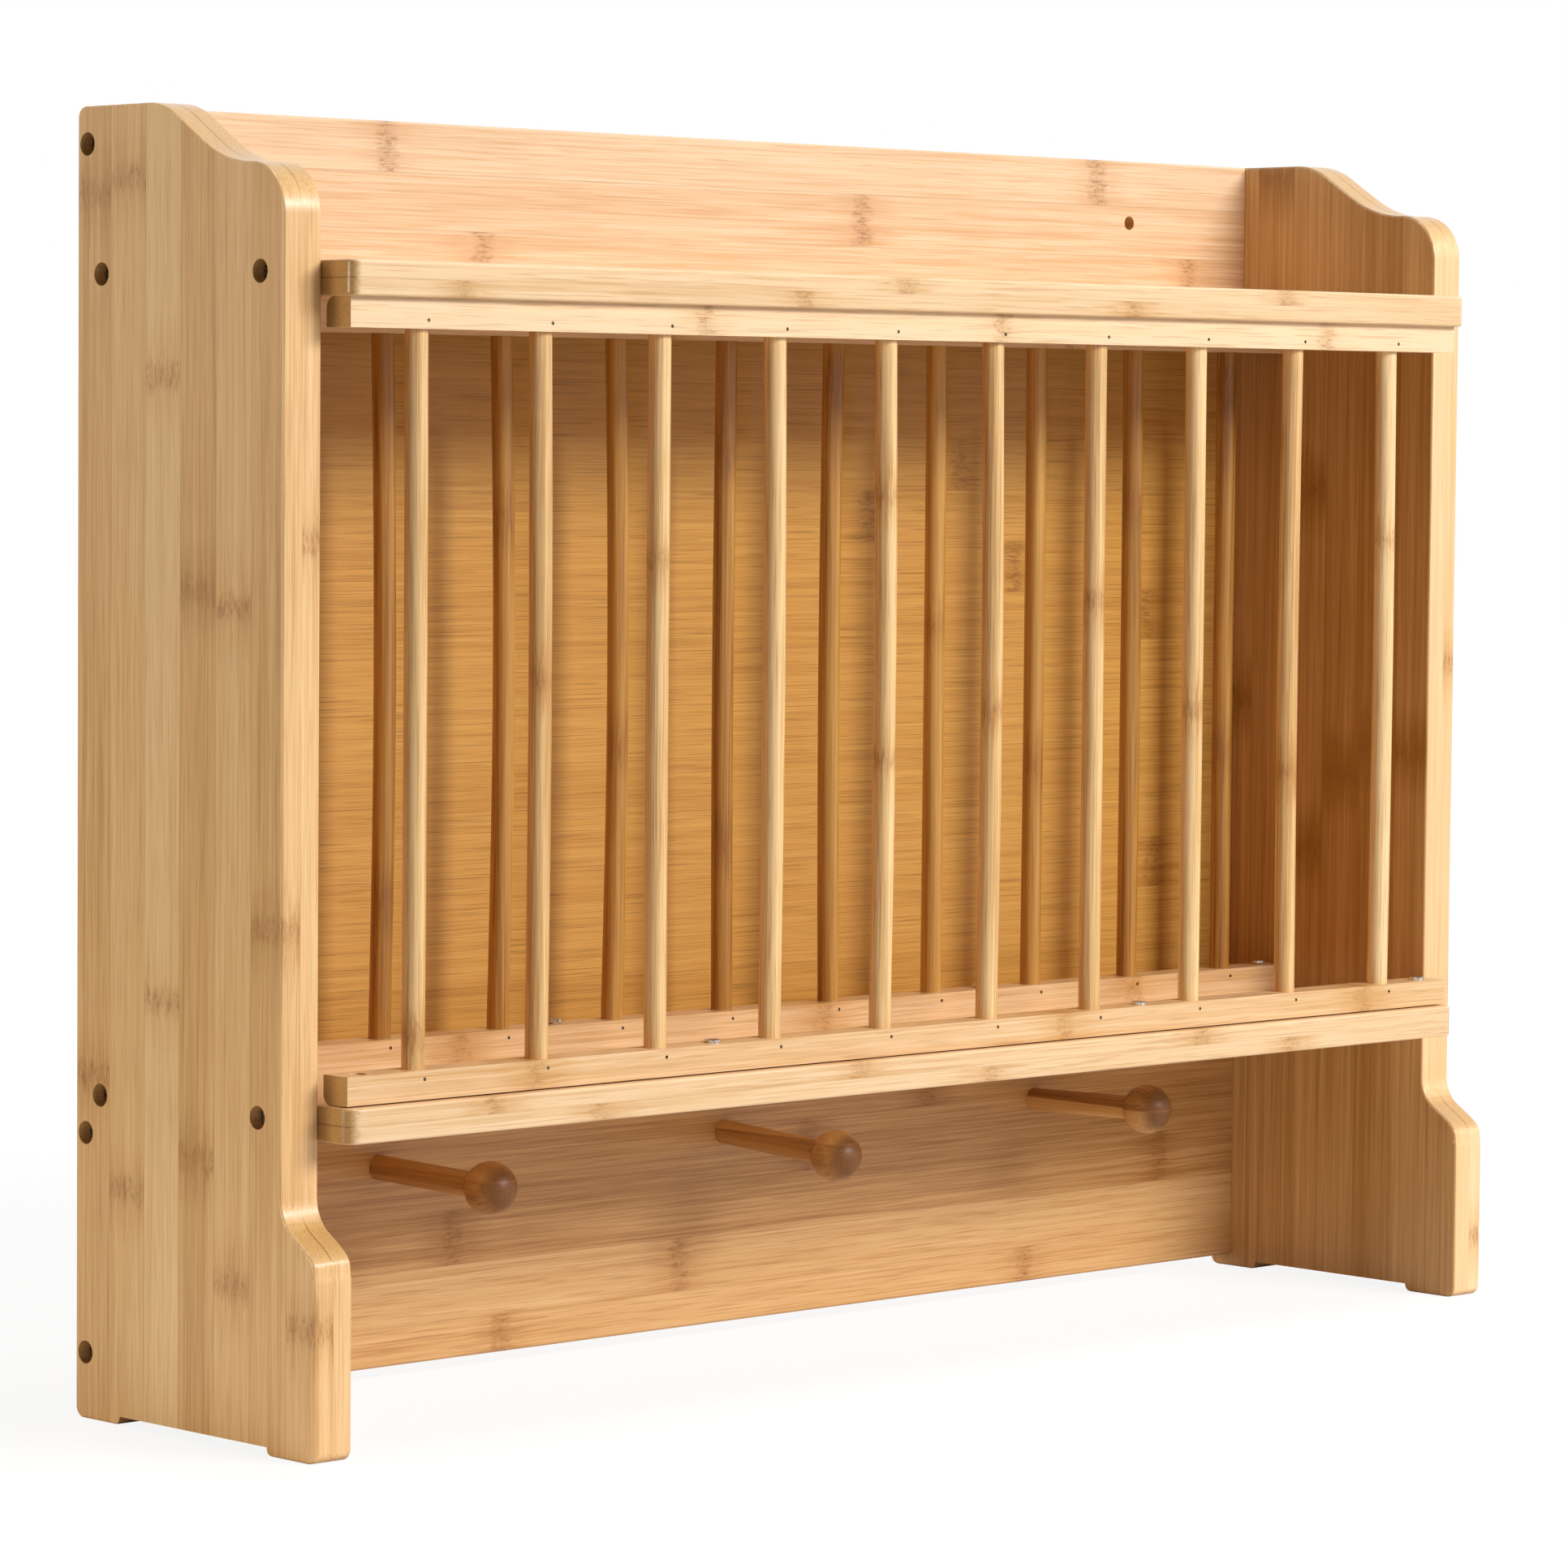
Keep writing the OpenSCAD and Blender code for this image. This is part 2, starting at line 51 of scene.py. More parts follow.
def linearColour(hexText):
    # sRGB hex to the linear colour that the shaders take
    values = [int(hexText[i:i + 2], 16) / 255 for i in (1, 3, 5)]
    return tuple(c / 12.92 if c <= 0.04045 else ((c + 0.055) / 1.055) ** 2.4 for c in values) + (1,)


def addNode(tree, kind, inputs=(), out=0, **settings):
    # one node with its settings and links; gives back one of its outputs
    made = tree.nodes.new(kind)
    for key, value in settings.items():
        setattr(made, key, value)
    for socket, value in inputs.items() if isinstance(inputs, dict) else enumerate(inputs):
        if isinstance(value, bpy.types.NodeSocket):
            tree.links.new(value, made.inputs[socket])
        elif value is not None:
            made.inputs[socket].default_value = value
    return made.outputs[out] if len(made.outputs) else made


def setStops(rampOutput, stops, interpolation="LINEAR"):
    # stops as (position, colour)
    ramp = rampOutput.node.color_ramp
    ramp.interpolation = interpolation
    while len(ramp.elements) > 1:
        ramp.elements.remove(ramp.elements[0])
    ramp.elements[0].position = stops[0][0]
    ramp.elements[0].color = stops[0][1]
    for place, colour in stops[1:]:
        ramp.elements.new(place).color = colour
    return rampOutput


def emptyMaterial(name):
    material = bpy.data.materials.new(name)
    material.use_nodes = True
    material.node_tree.nodes.clear()
    return material, material.node_tree


# Pressed bamboo: split culm strips glued side by side and in layers, planed, sanded and satin lacquered.
# It gives straight fibre lines, strips that differ a little in tone, thin glue lines, short brown dashes
# where a strip crosses a knuckle of the culm, and dotted cut ends. Sizes are in millimetres.
bamboo = {
    "fibre": 0.85,          # spacing of the fine fibres, which is coarser than life so that it shows
    "fibreLong": 55.5556,
    "streak": 3.2,          # spacing of the wider streaks
    "streakLong": 166.6667,
    "culmApart": 900.0,     # most that two strips lie apart along their culm
    "knuckle": 5.0,         # half length of a knuckle's marks along the strip
    "ragged": 9.0,          # how far a knuckle's line strays along the strip, and its spacing both ways
    "raggedLong": 20.0,
    "raggedWide": 3.3333,
    "swing": 3.5,           # how far the fibres swing sideways at a knuckle
    "dashLong": 4.2,        # spacing of the dashes in a knuckle, along and across the strip
    "dashWide": 0.95,
    "dashCut": (0.50, 0.62),    # where in the noise a dash starts and where it is full
    "dashShare": 0.40,      # how strongly the dashes, the brown cloud and the ridge of a knuckle show
    "cloudShare": 0.16,
    "ridgeShare": 0.30,
    "pale": "#F8D39E",
    "warm": "#EABB80",
    "deep": "#C59252",
    "dash": "#8A4C0C",
    "line": "#B9824A",      # darker fibre lines
    "end": "#D6A868",       # cut ends
    "endTurn": (0.30, 0.85),    # how squarely a face is cut before it shows as an end
    "pore": "#A97A42",      # dots in the cut ends
    "poreApart": 0.8,
    "poreLong": 6.6667,
    "poreShare": 0.55,
    "glue": "#8E5E2E",
    "glueWide": 0.35,       # reach of the glue line between strips
    "glueShare": 0.30,
    "plyWide": (0.40, 0.12),    # the one between layers, from where it starts to where it is full
    "toneSpread": 0.30,     # how much the strips differ
    "toneShift": 0.0,
    "layerShift": 0.0,      # how much paler the layers behind the first are
    "knuckleTone": -0.20,   # how much darker the strip is around a knuckle
    "streaks": 0.46,        # how strongly the fibres and the streaks show
    "lines": 0.34,          # and the darker lines
    "lineLong": 26,         # length of a darker line
    "lineCut": (0.56, 0.68),
    "plyLine": 0.14,        # how strongly the layers' glue line shows along the grain
    "relief": 0.00008,      # metres, as the shader takes it
    "reliefShare": 0.30,
    "rough": 0.38,
    "roughSpread": 0.16,
    "coat": 0.30,
    "coatRough": 0.22,
}


def bambooMaterial(name, look, lay, marks, seed):
    # lay says how the strips run: which way, how wide and thick, how many, and where the first one starts;
    # marks gives each (strip, layer) its knuckles' places along the grain, which reach is long enough for
    material, tree = emptyMaterial(name)
    spot = addNode(tree, "ShaderNodeTexCoord", out="Object")
    spot = addNode(tree, "ShaderNodeMapping", {    # metres to millimetres from the first strip's corner
        "Vector": spot, "Location": [-c for c in lay["start"]], "Scale": (1000, 1000, 1000)})
    grain, across = lay["grain"], lay["across"]
    through = [axis for axis in "XYZ" if axis not in (grain, across)][0]
    sides = addNode(tree, "ShaderNodeSeparateXYZ", [spot]).node.outputs

    # which strip of which layer this is, and its own chance number
    stripPlace = addNode(tree, "ShaderNodeMath", [sides[across], lay["strip"]], operation="DIVIDE")
    layerPlace = addNode(tree, "ShaderNodeMath", [sides[through], lay["layer"]], operation="DIVIDE")
    stripNumber = addNode(tree, "ShaderNodeMath", [stripPlace], operation="FLOOR")
    layerNumber = addNode(tree, "ShaderNodeMath", [layerPlace], operation="FLOOR")
    row = addNode(tree, "ShaderNodeMath", [layerNumber, lay["strips"], stripNumber],
                  operation="MULTIPLY_ADD")
    ticket = addNode(tree, "ShaderNodeMath", [row, seed], operation="ADD")
    chance = addNode(tree, "ShaderNodeTexWhiteNoise", {"W": ticket}, noise_dimensions="1D").node.outputs

    # up to three knuckle places of a strip are kept as the parts of a colour, and its tone as the alpha
    rows = lay["strips"] * lay["layers"]
    grainStart = lay["start"]["XYZ".index(grain)]
    stops = []
    for number in range(rows):
        strip = (number % lay["strips"], number // lay["strips"])
        parts = [(place - grainStart) / lay["reach"] for place in marks.get(strip, [])][:3]
        stripTone = 0.5 + lay.get("tones", {}).get(strip, 0)
        stops.append((number / rows, tuple(parts + [1.0] * (3 - len(parts))) + (stripTone,)))
    pick = addNode(tree, "ShaderNodeMath", [row, 0.5], operation="ADD")
    pick = addNode(tree, "ShaderNodeMath", [pick, rows], operation="DIVIDE")
    knuckles = setStops(addNode(tree, "ShaderNodeValToRGB", [pick]), stops, "CONSTANT")
    ownTone = knuckles.node.outputs["Alpha"]
    knuckles = addNode(tree, "ShaderNodeVectorMath", {"Vector": knuckles, "Scale": lay["reach"]},
                       operation="SCALE")

    # distance to the nearest knuckle, along a ragged line across the strip
    turned = addNode(tree, "ShaderNodeCombineXYZ", [sides[grain], sides[across], sides[through]])
    ragged = addNode(tree, "ShaderNodeMapping", {"Vector": turned, "Scale": (
        1 / look["raggedLong"], 1 / look["raggedWide"], 1 / look["raggedWide"])})
    ragged = addNode(tree, "ShaderNodeTexNoise", {"Vector": ragged, "Scale": 1.0, "Detail": 3.0})
    ragged = addNode(tree, "ShaderNodeMath", [ragged, 0.5], operation="SUBTRACT")
    along = addNode(tree, "ShaderNodeMath", [ragged, look["ragged"], sides[grain]],
                    operation="MULTIPLY_ADD")
    along = addNode(tree, "ShaderNodeCombineXYZ", [along, along, along])
    gap = addNode(tree, "ShaderNodeVectorMath", [along, knuckles], operation="SUBTRACT")
    gap = addNode(tree, "ShaderNodeVectorMath", [gap], operation="ABSOLUTE")
    gap = addNode(tree, "ShaderNodeSeparateXYZ", [gap]).node.outputs
    nearest = addNode(tree, "ShaderNodeMath", [gap[0], gap[1]], operation="MINIMUM")
    nearest = addNode(tree, "ShaderNodeMath", [nearest, gap[2]], operation="MINIMUM")
    half = look["knuckle"]
    inKnuckle = addNode(tree, "ShaderNodeMapRange", [nearest, half * 1.4, half * 0.3, 0.0, 1.0],
                        interpolation_type="SMOOTHSTEP")
    nearKnuckle = addNode(tree, "ShaderNodeMapRange", [nearest, half * 4.5, half * 0.5, 0.0, 1.0],
                          interpolation_type="SMOOTHSTEP")

    # fibres: they swing sideways at a knuckle, and each strip has its own stretch of culm
    swing = addNode(tree, "ShaderNodeMath", [ragged, nearKnuckle], operation="MULTIPLY")
    swing = addNode(tree, "ShaderNodeMath", [swing, look["swing"], sides[across]],
                    operation="MULTIPLY_ADD")
    stretch = addNode(tree, "ShaderNodeMath", [chance["Value"], look["culmApart"], sides[grain]],
                      operation="MULTIPLY_ADD")
    culm = addNode(tree, "ShaderNodeCombineXYZ", [stretch, swing, sides[through]])
    fibrePlace = addNode(tree, "ShaderNodeMapping", {"Vector": culm, "Scale": (
        1 / look["fibreLong"], 1 / look["fibre"], 1 / look["fibre"])})
    fibre = addNode(tree, "ShaderNodeTexNoise", {
        "Vector": fibrePlace, "Scale": 1.0, "Detail": 2.0, "Roughness": 0.6})
    streakPlace = addNode(tree, "ShaderNodeMapping", {"Vector": culm, "Scale": (
        1 / look["streakLong"], 1 / look["streak"], 1 / look["streak"])})
    streak = addNode(tree, "ShaderNodeTexNoise", {"Vector": streakPlace, "Scale": 1.0, "Detail": 2.0})
    linePlace = addNode(tree, "ShaderNodeMapping", {"Vector": culm, "Scale": (
        1 / look["lineLong"], 1.6 / look["fibre"], 1.6 / look["fibre"]), "Location": (50, 50, 50)})
    darkLine = addNode(tree, "ShaderNodeTexNoise", {"Vector": linePlace, "Scale": 1.0, "Detail": 1.0})
    darkLine = addNode(tree, "ShaderNodeMapRange", [darkLine, *look["lineCut"], 0.0, 1.0])

    # tone from the strip's chance number, the fibres and the streaks
    tone = addNode(tree, "ShaderNodeMapRange", [
        chance["Value"], 0.0, 1.0,
        look["toneShift"] - look["toneSpread"], look["toneShift"] + look["toneSpread"]])
    tone = addNode(tree, "ShaderNodeMath", [tone, ownTone], operation="ADD")
    behind = addNode(tree, "ShaderNodeMath", [layerNumber, 1.0], operation="MINIMUM")
    tone = addNode(tree, "ShaderNodeMath", [behind, look["layerShift"], tone], operation="MULTIPLY_ADD")
    fineTone = addNode(tree, "ShaderNodeMath", [fibre, 0.5], operation="SUBTRACT")
    tone = addNode(tree, "ShaderNodeMath", [fineTone, look["streaks"] * 2.0, tone],
                   operation="MULTIPLY_ADD")
    wideTone = addNode(tree, "ShaderNodeMath", [streak, 0.5], operation="SUBTRACT")
    tone = addNode(tree, "ShaderNodeMath", [wideTone, look["streaks"] * 1.7, tone],
                   operation="MULTIPLY_ADD")
    tone = addNode(tree, "ShaderNodeMath", [nearKnuckle, look["knuckleTone"], tone],
                   operation="MULTIPLY_ADD")
    wood = setStops(addNode(tree, "ShaderNodeValToRGB", [tone]), [
        (0.0, linearColour(look["deep"])),
        (0.45, linearColour(look["warm"])),
        (0.95, linearColour(look["pale"]))])
    lineShare = addNode(tree, "ShaderNodeMath", [darkLine, look["lines"]], operation="MULTIPLY")
    wood = addNode(tree, "ShaderNodeMix", {0: lineShare, 6: wood, 7: linearColour(look["line"])},
                   out=2, data_type="RGBA")

    # the knuckle's brown cloud, its short dashes and the thin wavy ridge across the strip
    dashPlace = addNode(tree, "ShaderNodeMapping", {"Vector": culm, "Scale": (
        1 / look["dashLong"], 1 / look["dashWide"], 1 / look["dashWide"])})
    dash = addNode(tree, "ShaderNodeTexNoise", {
        "Vector": dashPlace, "Scale": 1.0, "Detail": 2.0, "Roughness": 0.6})
    dash = addNode(tree, "ShaderNodeMapRange", [dash, *look["dashCut"], 0.0, 1.0])
    dash = addNode(tree, "ShaderNodeMath", [dash, inKnuckle], operation="MULTIPLY")
    ridge = addNode(tree, "ShaderNodeMapRange", [nearest, 1.0, 0.3, 0.0, look["ridgeShare"]])
    dash = addNode(tree, "ShaderNodeMath", [dash, ridge], operation="MAXIMUM")
    cloud = addNode(tree, "ShaderNodeMath", [inKnuckle, look["cloudShare"]], operation="MULTIPLY")
    brown = addNode(tree, "ShaderNodeMath", [dash, look["dashShare"], cloud], operation="MULTIPLY_ADD")
    wood = addNode(tree, "ShaderNodeMix", {0: brown, 6: wood, 7: linearColour(look["dash"])},
                   out=2, data_type="RGBA")

    # glue lines between strips, and darker ones between layers
    stripEdge = addNode(tree, "ShaderNodeMath", [stripPlace, 1.0], operation="PINGPONG")
    stripEdge = addNode(tree, "ShaderNodeMath", [stripEdge, 0.5], operation="SUBTRACT")
    stripEdge = addNode(tree, "ShaderNodeMath", [stripEdge], operation="ABSOLUTE")
    stripLine = addNode(tree, "ShaderNodeMapRange", [
        stripEdge, 0.5 - look["glueWide"] / lay["strip"], 0.5, 0.0, look["glueShare"]])
    layerEdge = addNode(tree, "ShaderNodeMath", [layerPlace, 1.0], operation="PINGPONG")
    layerEdge = addNode(tree, "ShaderNodeMath", [layerEdge, 0.5], operation="SUBTRACT")
    layerEdge = addNode(tree, "ShaderNodeMath", [layerEdge], operation="ABSOLUTE")
    lineStart, lineFull = [0.5 - wide / lay["layer"] for wide in look["plyWide"]]
    layerLine = addNode(tree, "ShaderNodeMapRange", [layerEdge, lineStart, lineFull, 0.0, 0.9])
    glue = addNode(tree, "ShaderNodeMath", [layerLine, look["plyLine"], stripLine],
                   operation="MULTIPLY_ADD")
    wood = addNode(tree, "ShaderNodeMix", {0: glue, 6: wood, 7: linearColour(look["glue"])},
                   out=2, data_type="RGBA")

    # cut ends show the fibre bundles as dots
    facing = addNode(tree, "ShaderNodeNewGeometry", out="Normal")
    facing = addNode(tree, "ShaderNodeSeparateXYZ", [facing]).node.outputs[grain]
    facing = addNode(tree, "ShaderNodeMath", [facing], operation="ABSOLUTE")
    cutEnd = addNode(tree, "ShaderNodeMapRange", [facing, *look["endTurn"], 0.0, 1.0],
                     interpolation_type="SMOOTHSTEP")
    pores = addNode(tree, "ShaderNodeMapping", {"Vector": turned, "Scale": (
        1 / look["poreLong"], 1 / look["poreApart"], 1 / look["poreApart"])})
    pores = addNode(tree, "ShaderNodeTexVoronoi", {"Vector": pores, "Scale": 1.0, "Randomness": 1.0})
    pores = addNode(tree, "ShaderNodeMapRange", [pores, 0.50, 0.10, 0.0, look["poreShare"]])
    endWood = addNode(tree, "ShaderNodeMix", {
        0: pores, 6: linearColour(look["end"]), 7: linearColour(look["pore"])}, out=2, data_type="RGBA")
    endWood = addNode(tree, "ShaderNodeMix", {0: layerLine, 6: endWood, 7: linearColour(look["glue"])},
                      out=2, data_type="RGBA")
    wood = addNode(tree, "ShaderNodeMix", {0: cutEnd, 6: wood, 7: endWood}, out=2, data_type="RGBA")

    # relief of fibres, dashes and glue lines, under a tenth of a millimetre deep
    relief = addNode(tree, "ShaderNodeMath", [dash, -0.5, fibre], operation="MULTIPLY_ADD")
    relief = addNode(tree, "ShaderNodeMath", [glue, -1.0, relief], operation="MULTIPLY_ADD")
    bump = addNode(tree, "ShaderNodeBump", {
        "Strength": look["reliefShare"], "Distance": look["relief"], "Height": relief})
    rough = addNode(tree, "ShaderNodeMath", [
        fibre, look["roughSpread"], look["rough"] - look["roughSpread"] / 2], operation="MULTIPLY_ADD")
    shader = addNode(tree, "ShaderNodeBsdfPrincipled", {
        "Base Color": wood, "Normal": bump, "Roughness": rough, "IOR": 1.5,
        "Specular IOR Level": 0.35, "Coat Weight": look["coat"], "Coat Roughness": look["coatRough"]})
    addNode(tree, "ShaderNodeOutputMaterial", {"Surface": shader})
    return material


def strayKnuckles(seed, lay, length, spacing=(150, 260), share=1.0):
    # knuckles on each strip, spaced as on a culm (mm); share is the part of the strips that have any
    chance = random.Random(seed)
    begin = lay["start"]["XYZ".index(lay["grain"])]
    marks = {}
    for layer in range(lay["layers"]):
        for strip in range(lay["strips"]):
            place = chance.uniform(15, spacing[1])
            places = []
            while place < length:
                places.append(begin + place)
                place += chance.uniform(*spacing)
            if chance.random() < share:
                marks[(strip, layer)] = places
    return marks


# how a copy of a CAD node is cleaned: distances in metres, angles in degrees
cleaning = {"weld": 0.000005, "flat": 1, "corner": 60, "shortEdge": 0.006, "sharp": 32}


def finishedCopy(nodeName, material, softEdge=0.0):
    # a merged, smooth-shaded copy of a CAD node stands for it; softEdge eases its sharp edges (m)
    mesh = nodes[nodeName].data.copy()
    piece = bpy.data.objects.new(nodeName + "_finished", mesh)
    scene.collection.objects.link(piece)
    bm = bmesh.new()
    bm.from_mesh(mesh)
    bmesh.ops.remove_doubles(bm, verts=bm.verts, dist=cleaning["weld"])
    if softEdge:
        bmesh.ops.dissolve_limit(bm, angle_limit=math.radians(cleaning["flat"]),
                                 verts=bm.verts, edges=bm.edges)
        corners = [edge for edge in bm.edges
                   if edge.calc_face_angle(0) > math.radians(cleaning["corner"])
                   and edge.calc_length() > cleaning["shortEdge"]]
        bmesh.ops.bevel(bm, geom=corners, offset=softEdge, affect="EDGES", segments=2, profile=0.5,
                        material=-1, clamp_overlap=True)
    for face in bm.faces:
        face.smooth = True
    for edge in bm.edges:
        edge.smooth = edge.calc_face_angle(0) < math.radians(cleaning["sharp"])
    bm.to_mesh(mesh)
    bm.free()
    mesh.materials.clear()
    mesh.materials.append(material)
    weighted = piece.modifiers.new("even normals", "WEIGHTED_NORMAL")
    weighted.keep_sharp = True
    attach(piece, "root")
    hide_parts(nodeName)
    return piece


# side panels: two layers of seven upright strips; the right one's inner layer is darker, painted shade on
# its inner face, and its other layers are paler, painted light on its front edge
leftLay = {"grain": "Z", "across": "Y", "strip": 19.2, "layer": 8.5, "strips": 7, "layers": 2,
           "start": (-299.5, -69.1, -5), "reach": 500,
           "tones": {(1, 0): -0.04, (2, 0): 0.06, (3, 0): -0.22, (4, 0): 0.24, (5, 0): 0.02,
                     (6, 0): -0.12}}
rightLay = dict(leftLay, start=(275.1, -69.1, -5), layers=3, tones={})
leftMarks = strayKnuckles(4, leftLay, length=450)
leftMarks.update({(0, 0): [44], (1, 0): [175.5], (2, 0): [55, 282], (3, 0): [95.5, 287],
                  (4, 0): [147.5, 358], (5, 0): [81.7, 425], (6, 0): [119, 420],
                  (1, 1): [303.5], (0, 1): []})
rightMarks = strayKnuckles(5, rightLay, length=450)
rightMarks.update({(0, 0): [], (1, 0): [215.9], (2, 0): [217.8], (3, 0): [206.1],
                   (4, 0): [174.7, 319.5], (5, 0): [446.6], (6, 0): [234.5],
                   (1, 1): [], (0, 1): []})
sideLook = dict(bamboo, dash="#9C5C16", fibre=0.75, toneSpread=0.07, coat=0.55, coatRough=0.24,
                plyLine=0.05)
# right panel: pale colours and paler back layers as painted light, a darker inner layer as painted shade
rightLookPaintedLightAndShade = dict(sideLook, pale="#FCE0B2", deep="#B4803A", lines=0.16, streaks=0.26, toneShift=-0.32,
                 toneSpread=0.14, layerShift=0.50)
leftBamboo = bambooMaterial("pressedBambooLeftSide", sideLook, leftLay, leftMarks, seed=3.0)
rightBambooPaintedLightAndShade = bambooMaterial("pressedBambooRightSidePaintedLightAndShade", rightLookPaintedLightAndShade, rightLay, rightMarks, seed=31.0)

# the foot's front curve swings a little further out than the plain outline, in an even S (m)
footCurve = {
    "low": 0.0615,
    "high": 0.0770,
    "push": 0.0023,
    "frontOf": -0.0475,
    "cuts": (0.0745, 0.0730, 0.0715, 0.0700, 0.0685),
    "cutWeld": 0.00001,
}


def fullerFoot(piece):
    bm = bmesh.new()
    bm.from_mesh(piece.data)
    for height in footCurve["cuts"]:
        bmesh.ops.bisect_plane(bm, geom=bm.verts[:] + bm.edges[:] + bm.faces[:],
                               dist=footCurve["cutWeld"], plane_co=(0, 0, height), plane_no=(0, 0, 1))
    for vert in bm.verts:
        share = (vert.co.z - footCurve["low"]) / (footCurve["high"] - footCurve["low"])
        if 0 < share < 1 and vert.co.y < footCurve["frontOf"]:
            vert.co.y -= footCurve["push"] * math.sin(math.pi * share) ** 2
    bm.to_mesh(piece.data)
    bm.free()


fullerFoot(finishedCopy("left_side", leftBamboo))
fullerFoot(finishedCopy("right_side", rightBambooPaintedLightAndShade))
print("side panels finished")

# the shelves have two layers of six strips, the rails are one strip each
shelfLook = dict(bamboo, pale="#FADCB6", warm="#F1CDA0", deep="#D5A468", dash="#A8702E", end="#B98C52",
                 pore="#8A6030", plyLine=0.08, streaks=0.34)
topLay = {"grain": "X", "across": "Y", "strip": 21.5, "layer": 6.5, "strips": 6, "layers": 2,
          "start": (-300, -63.8, 384.3), "reach": 640}
lowLay = dict(topLay, start=(-300, -63.8, 104.1))
topMarks = strayKnuckles(7, topLay, length=600)
topMarks.update({(0, 0): [-235.5, -77.9, 91.0], (0, 1): [-27.7, 177.1]})
lowMarks = strayKnuckles(9, lowLay, length=600)
topBamboo = bambooMaterial("pressedBambooTopShelf", shelfLook, topLay, topMarks, seed=61.0)
lowBamboo = bambooMaterial("pressedBambooBottomShelf", shelfLook, lowLay, lowMarks, seed=83.0)
finishedCopy("top_shelf", topBamboo)
finishedCopy("bottom_shelf", lowBamboo)
railLay = {"grain": "X", "across": "Z", "strip": 200, "layer": 80, "strips": 2, "layers": 2,
           "start": (-300, -80, 60), "reach": 640}
railMarks = {(1, 0): [-121.7, 26.2, 205.4], (0, 0): [-198, 64, 232],
             (1, 1): [-60, 150], (0, 1): [-160, 20, 190]}
railBamboo = bambooMaterial("planedBambooRail", shelfLook, railLay, railMarks, seed=101.0)
railCopies = {}
for railName in ("front_top_rail", "front_bottom_rail", "rear_top_rail", "rear_bottom_rail"):
    railCopies[railName] = finishedCopy(railName, railBamboo, softEdge=0.0006)

# the lower front rail is a hair open along its front edge, a dark line on the shelf (m)
railGap = {"open": 0.0005, "reach": 0.0013}
railLow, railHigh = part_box("front_bottom_rail")
for vert in railCopies["front_bottom_rail"].data.vertices:
    if vert.co.z < railLow[2] + railGap["reach"] and vert.co.y < railLow[1] + railGap["reach"]:
        vert.co.z += railGap["open"]
print("shelves and rails finished")

# back boards: single strips side by side, the lower board browner than the upper one
boardLay = {"grain": "X", "across": "Z", "strip": 20, "layer": 40, "strips": 3, "layers": 1,
            "start": (-300, 40, 392), "reach": 640}
upperLook = dict(bamboo, pale="#F0D6B8", warm="#EAC9A4", deep="#D8AC80", line="#D09A62",
                 streaks=0.50, lines=0.40)
upperMarks = {(0, 0): [-126.5, 249.2], (1, 0): [64.4], (2, 0): [-171.5, 195.1]}
upperBamboo = bambooMaterial("pressedBambooUpperBoard", upperLook, boardLay, upperMarks, seed=121.0)
lowerLay = dict(boardLay, start=(-300, 40, -1), strips=6)
lowerLook = dict(bamboo, pale="#E7BD86", warm="#D6A46A", deep="#AF7A42", line="#A8743E",
                 streak=2.4, streaks=0.48, lines=0.40)
lowerMarks = {(0, 0): [-114.8, 160], (1, 0): [-26.3], (2, 0): [-138.5, 238.1],
              (3, 0): [-240, 40], (4, 0): [105]}
lowerBamboo = bambooMaterial("pressedBambooLowerBoard", lowerLook, lowerLay, lowerMarks, seed=141.0)
finishedCopy("upper_back_board", upperBamboo, softEdge=0.0005)
finishedCopy("lower_back_board", lowerBamboo, 0.0005)

# thin panel of darker, carbonised strips with dark lines along the fibres
panelLay = dict(boardLay, start=(-300, 40, 99), strips=15)
panelLook = dict(bamboo, pale="#E2AF5C", warm="#D29A48", deep="#B27A30", line="#7A4B18", dash="#80501E",
                 toneSpread=0.12, lines=0.50, fibre=0.55, lineLong=40, streaks=0.40)
panelMarks = {(3, 0): [236], (8, 0): [230], (9, 0): [153.5], (10, 0): [71.5], (11, 0): [121.9]}
panelBamboo = bambooMaterial("carbonisedBambooPanel", panelLook, panelLay, panelMarks, seed=161.0)
finishedCopy("back_panel", panelBamboo)
print("boards and panel finished")

# turned rods; each one bows sideways a little between its rails, as thin bamboo does
dowels = {
    "radius": 0.004,
    "low": 0.1191,          # ends of the rod, inside its rails
    "high": 0.3823,
    "railLow": 0.1269,      # where it comes out of the rails
    "railHigh": 0.3745,
    "count": 10,
    "firstX": -0.2475,
    "pitch": 0.055,
    "segments": 32,
    "steps": 20,
    "sharp": 40,            # degrees
    "frontY": -0.05325,
    "rearY": 0.03025,       # bows in millimetres, the rest in metres
    "frontBow": [0.3, 0.8, -0.2, 0.9, 1.2, 1.2, 0.2, 0.2, -0.6, 0.6],
    "rearBow": [0.6, 1.7, 2.0, 2.0, -0.8, -1.1, 0.1, 0.3, 0.3, -0.3],
}


